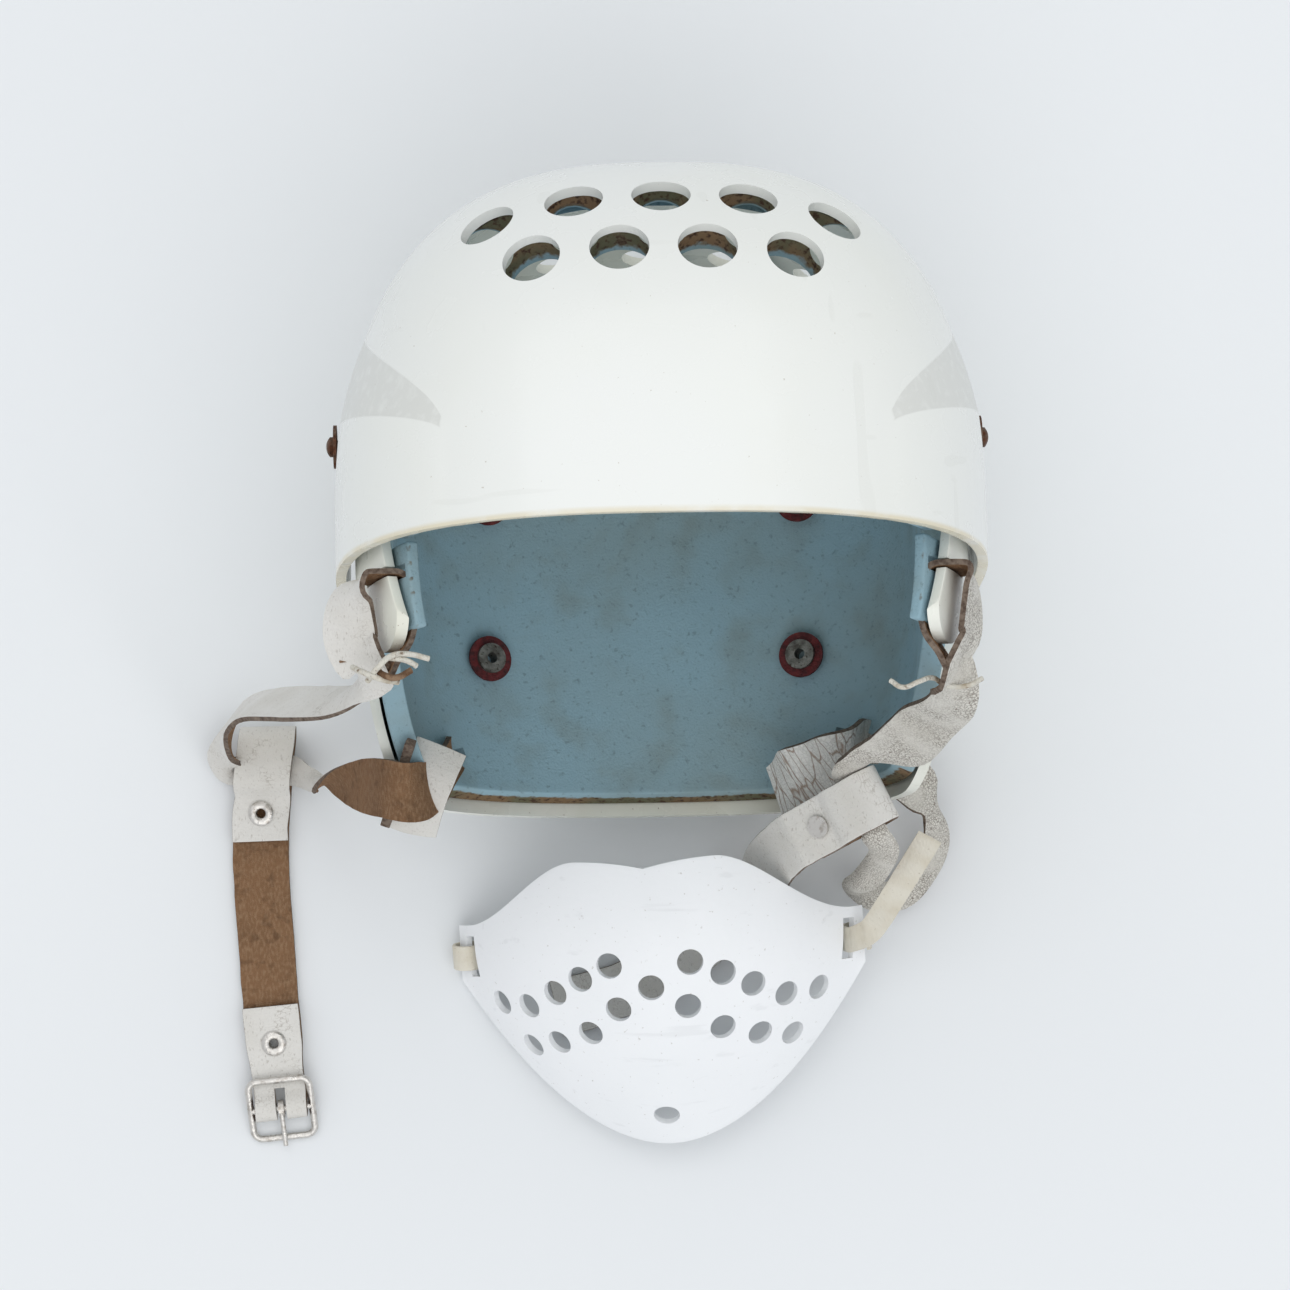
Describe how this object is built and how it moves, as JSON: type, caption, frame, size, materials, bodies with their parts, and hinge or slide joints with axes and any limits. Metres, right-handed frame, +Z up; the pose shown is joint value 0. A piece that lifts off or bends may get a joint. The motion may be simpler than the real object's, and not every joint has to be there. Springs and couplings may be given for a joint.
{
  "type": "hockey helmet",
  "caption": "Two-piece vented hockey helmet on its back, with sliding shells, foam liners, leather straps, wire buckle and perforated chin guard",
  "frame": {"origin": "middle of the whole layout's footprint, on the table that it lies on", "axes": "+Z up from the table and out of the helmet's face opening, +Y towards the crown, +X towards the helmet's side with the open end of the guard's long band"},
  "size_m": [0.2474, 0.3014, 0.2288],
  "materials": {
    "front_shell": "gloss",
    "rear_shell": "gloss",
    "foam": "matte",
    "leather": "satin",
    "suede": "matte",
    "lace": "matte",
    "rivet_metal": "satin",
    "fibre": "matte",
    "screw_metal": "satin",
    "nut_metal": "satin",
    "buckle_metal": "satin",
    "guard_plastic": "satin",
    "band": "matte"
  },
  "bodies": {
    "helmet": {"rear_shell": "rear_shell", "rear_liner": "foam", "left_temple_pad": "foam", "right_temple_pad": "foam", "liner_rivets": "rivet_metal", "fibre_rings": "fibre", "left_side_strap": "leather", "right_side_strap": "leather", "left_chin_strap": "suede", "right_chin_strap": "leather", "left_lace": "lace", "right_lace": "lace", "left_keeper_eyelet": "rivet_metal", "right_keeper_rivet": "rivet_metal", "buckle_eyelet": "rivet_metal", "right_guard_band": "band"},
    "front": {"front_shell": "front_shell", "front_liner": "foam", "left_screw_washer": "screw_metal", "right_screw_washer": "screw_metal", "left_screw_nut": "nut_metal", "right_screw_nut": "nut_metal"},
    "left_screw": {"left_size_screw": "screw_metal"},
    "right_screw": {"right_size_screw": "screw_metal"},
    "buckle": {"buckle_frame": "buckle_metal"},
    "prong": {"buckle_prong": "buckle_metal"},
    "guard": {"chin_guard": "guard_plastic", "left_guard_band": "band"}
  },
  "joints": [
    {"name": "size_adjust", "type": "slide", "parent": "helmet", "child": "front", "axis": [0.0262, 0.1736, 0.9845], "range_m": [0, 0.012]},
    {"name": "left_screw_turn", "type": "hinge", "parent": "front", "child": "left_screw", "pos_m": [0.02458, 0.06953, 0.11497], "axis": [0.9997, -0.0045, -0.0258], "continuous": true},
    {"name": "right_screw_turn", "type": "hinge", "parent": "front", "child": "right_screw", "pos_m": [0.02458, 0.06953, 0.11497], "axis": [0.9997, -0.0045, -0.0258], "continuous": true},
    {"name": "buckle_tilt", "type": "hinge", "parent": "helmet", "child": "buckle", "pos_m": [-0.10052, -0.13769, 0.0043], "axis": [0.9962, 0.0872, 0], "range_deg": [0, 90]},
    {"name": "prong_lift", "type": "hinge", "parent": "buckle", "child": "prong", "pos_m": [-0.10052, -0.13769, 0.0043], "axis": [-0.9962, -0.0872, 0], "range_deg": [0, 95]},
    {"name": "guard_swing", "type": "hinge", "parent": "helmet", "child": "guard", "pos_m": [0.08494, -0.08545, 0.01869], "axis": [-0.0497, 0.9882, 0.1448], "range_deg": [0, 24]}
  ]
}
